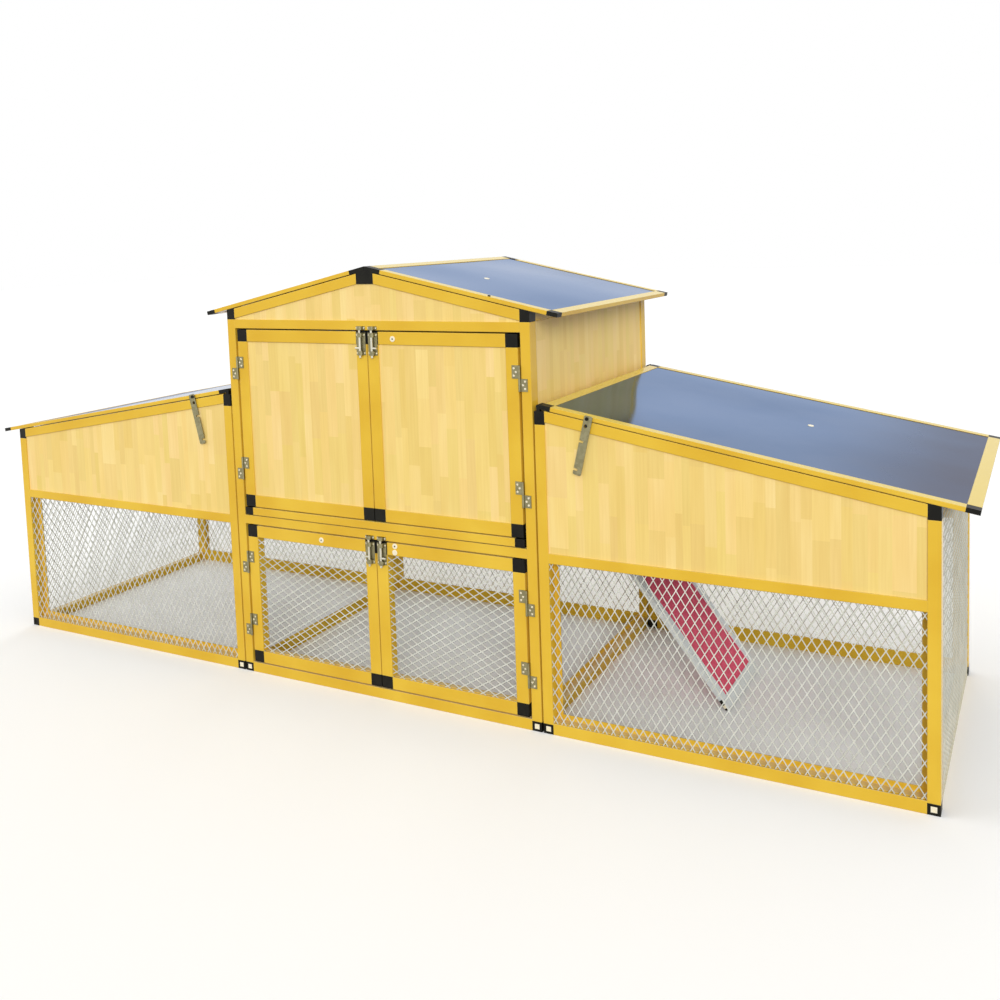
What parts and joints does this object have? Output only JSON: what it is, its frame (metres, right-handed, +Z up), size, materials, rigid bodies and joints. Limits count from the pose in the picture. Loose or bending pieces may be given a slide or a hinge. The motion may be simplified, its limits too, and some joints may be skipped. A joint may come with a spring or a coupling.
{
  "type": "chicken coop with run",
  "caption": "Chicken coop with a gabled house over a mesh pen and lean-to mesh runs at both ends, yellow bars with black corner connectors, wood-look panels",
  "frame": {"origin": "centre of the bounding box's bottom face, on the ground under the middle of the house", "axes": "+X along the length to the run with the ramp, +Y from the doors to the back, +Z up"},
  "size_m": [3.0734, 0.8464, 1.2208],
  "materials": {
    "yellow_bars": "satin",
    "black_connectors": "satin",
    "stave_panels": "satin",
    "galvanised_mesh": "satin",
    "roof_sheet": "gloss",
    "galvanised_steel": "satin",
    "black_screws": "satin",
    "perch_wood": "matte",
    "silver_strips": "satin",
    "red_mat": "matte"
  },
  "bodies": {
    "coop": {"tower_frame": "yellow_bars", "tower_connectors": "black_connectors", "tower_panels": "stave_panels", "tower_right_panel": "stave_panels", "tower_back_mesh": "galvanised_mesh", "tower_roof_frames": "yellow_bars", "tower_roof_sheets": "roof_sheet", "tray_runners": "galvanised_steel", "perches": "perch_wood", "hinge_post_leaves": "galvanised_steel", "bolt_keepers": "galvanised_steel", "feet": "black_connectors", "module_spacers": "black_connectors", "run_connectors": "black_connectors", "stay_studs": "black_screws", "ramp_brackets": "galvanised_steel", "left_run_frame": "yellow_bars", "left_run_panels": "stave_panels", "left_run_front_mesh": "galvanised_mesh", "left_run_back_mesh": "galvanised_mesh", "left_run_end_mesh": "galvanised_mesh", "right_run_frame": "yellow_bars", "right_run_panels": "stave_panels", "right_run_front_mesh": "galvanised_mesh", "right_run_back_mesh": "galvanised_mesh", "right_run_end_mesh": "galvanised_mesh"},
    "left_roof": {"left_roof_frame": "yellow_bars", "left_roof_sheet": "roof_sheet", "left_roof_caps": "black_connectors"},
    "left_stay": {"left_lid_stay": "galvanised_steel"},
    "right_roof": {"right_roof_frame": "yellow_bars", "right_roof_sheet": "roof_sheet", "right_roof_caps": "black_connectors"},
    "right_stay": {"right_lid_stay": "galvanised_steel"},
    "left_upper_door": {"left_upper_door_frame": "yellow_bars", "left_upper_door_corners": "black_connectors", "left_upper_door_panel": "stave_panels", "left_upper_door_hardware": "galvanised_steel"},
    "left_upper_bolt": {"left_upper_door_bolt": "galvanised_steel"},
    "left_lower_door": {"left_lower_door_frame": "yellow_bars", "left_lower_door_corners": "black_connectors", "left_lower_door_mesh": "galvanised_mesh", "left_lower_door_hardware": "galvanised_steel"},
    "left_lower_bolt": {"left_lower_door_bolt": "galvanised_steel"},
    "right_upper_door": {"right_upper_door_frame": "yellow_bars", "right_upper_door_corners": "black_connectors", "right_upper_door_panel": "stave_panels", "right_upper_door_hardware": "galvanised_steel"},
    "right_upper_bolt": {"right_upper_door_bolt": "galvanised_steel"},
    "right_lower_door": {"right_lower_door_frame": "yellow_bars", "right_lower_door_corners": "black_connectors", "right_lower_door_mesh": "galvanised_mesh", "right_lower_door_hardware": "galvanised_steel"},
    "right_lower_bolt": {"right_lower_door_bolt": "galvanised_steel"},
    "tray": {"tray_front": "yellow_bars", "tray_caps": "black_connectors", "tray_pan": "galvanised_steel"},
    "ramp": {"ramp_frame": "silver_strips", "ramp_corners": "black_connectors", "ramp_mat": "red_mat"}
  },
  "joints": [
    {"name": "left_roof_hinge", "type": "hinge", "parent": "coop", "child": "left_roof", "pos_m": [-0.515, 0.00575, 0.85831], "axis": [0, 1, 0], "range_deg": [0, 50]},
    {"name": "left_stay_pivot", "type": "hinge", "parent": "left_roof", "child": "left_stay", "pos_m": [-0.65097, -0.41615, 0.8347], "axis": [0, 1, 0], "range_deg": [-25, 0]},
    {"name": "right_roof_hinge", "type": "hinge", "parent": "coop", "child": "right_roof", "pos_m": [0.515, 0.00575, 0.85831], "axis": [0, -1, 0], "range_deg": [0, 50]},
    {"name": "right_stay_pivot", "type": "hinge", "parent": "right_roof", "child": "right_stay", "pos_m": [0.65097, -0.41615, 0.8347], "axis": [0, -1, 0], "range_deg": [-25, 0]},
    {"name": "left_upper_door_hinge", "type": "hinge", "parent": "coop", "child": "left_upper_door", "pos_m": [-0.467, -0.41505, 0.7775], "axis": [0, 0, -1], "range_deg": [0, 120]},
    {"name": "left_upper_bolt_slide", "type": "slide", "parent": "left_upper_door", "child": "left_upper_bolt", "axis": [0, 0, 1], "range_m": [0, 0.012]},
    {"name": "left_lower_door_hinge", "type": "hinge", "parent": "coop", "child": "left_lower_door", "pos_m": [-0.467, -0.41505, 0.2445], "axis": [0, 0, -1], "range_deg": [0, 120]},
    {"name": "left_lower_bolt_slide", "type": "slide", "parent": "left_lower_door", "child": "left_lower_bolt", "axis": [0, 0, 1], "range_m": [0, 0.012]},
    {"name": "right_upper_door_hinge", "type": "hinge", "parent": "coop", "child": "right_upper_door", "pos_m": [0.467, -0.41505, 0.7775], "axis": [0, 0, 1], "range_deg": [0, 120]},
    {"name": "right_upper_bolt_slide", "type": "slide", "parent": "right_upper_door", "child": "right_upper_bolt", "axis": [0, 0, 1], "range_m": [0, 0.012]},
    {"name": "right_lower_door_hinge", "type": "hinge", "parent": "coop", "child": "right_lower_door", "pos_m": [0.467, -0.41505, 0.2445], "axis": [0, 0, 1], "range_deg": [0, 120]},
    {"name": "right_lower_bolt_slide", "type": "slide", "parent": "right_lower_door", "child": "right_lower_bolt", "axis": [0, 0, 1], "range_m": [0, 0.012]},
    {"name": "tray_slide", "type": "slide", "parent": "coop", "child": "tray", "axis": [0, -1, 0], "range_m": [0, 0.6]},
    {"name": "ramp_hinge", "type": "hinge", "parent": "coop", "child": "ramp", "pos_m": [0.512, 0.04825, 0.505], "axis": [0, -1, 0], "range_deg": [0, 40]}
  ],
  "couplings": [
    {"joint": "left_stay_pivot", "follows": "left_roof_hinge", "ratio": -0.5},
    {"joint": "right_stay_pivot", "follows": "right_roof_hinge", "ratio": -0.5}
  ]
}
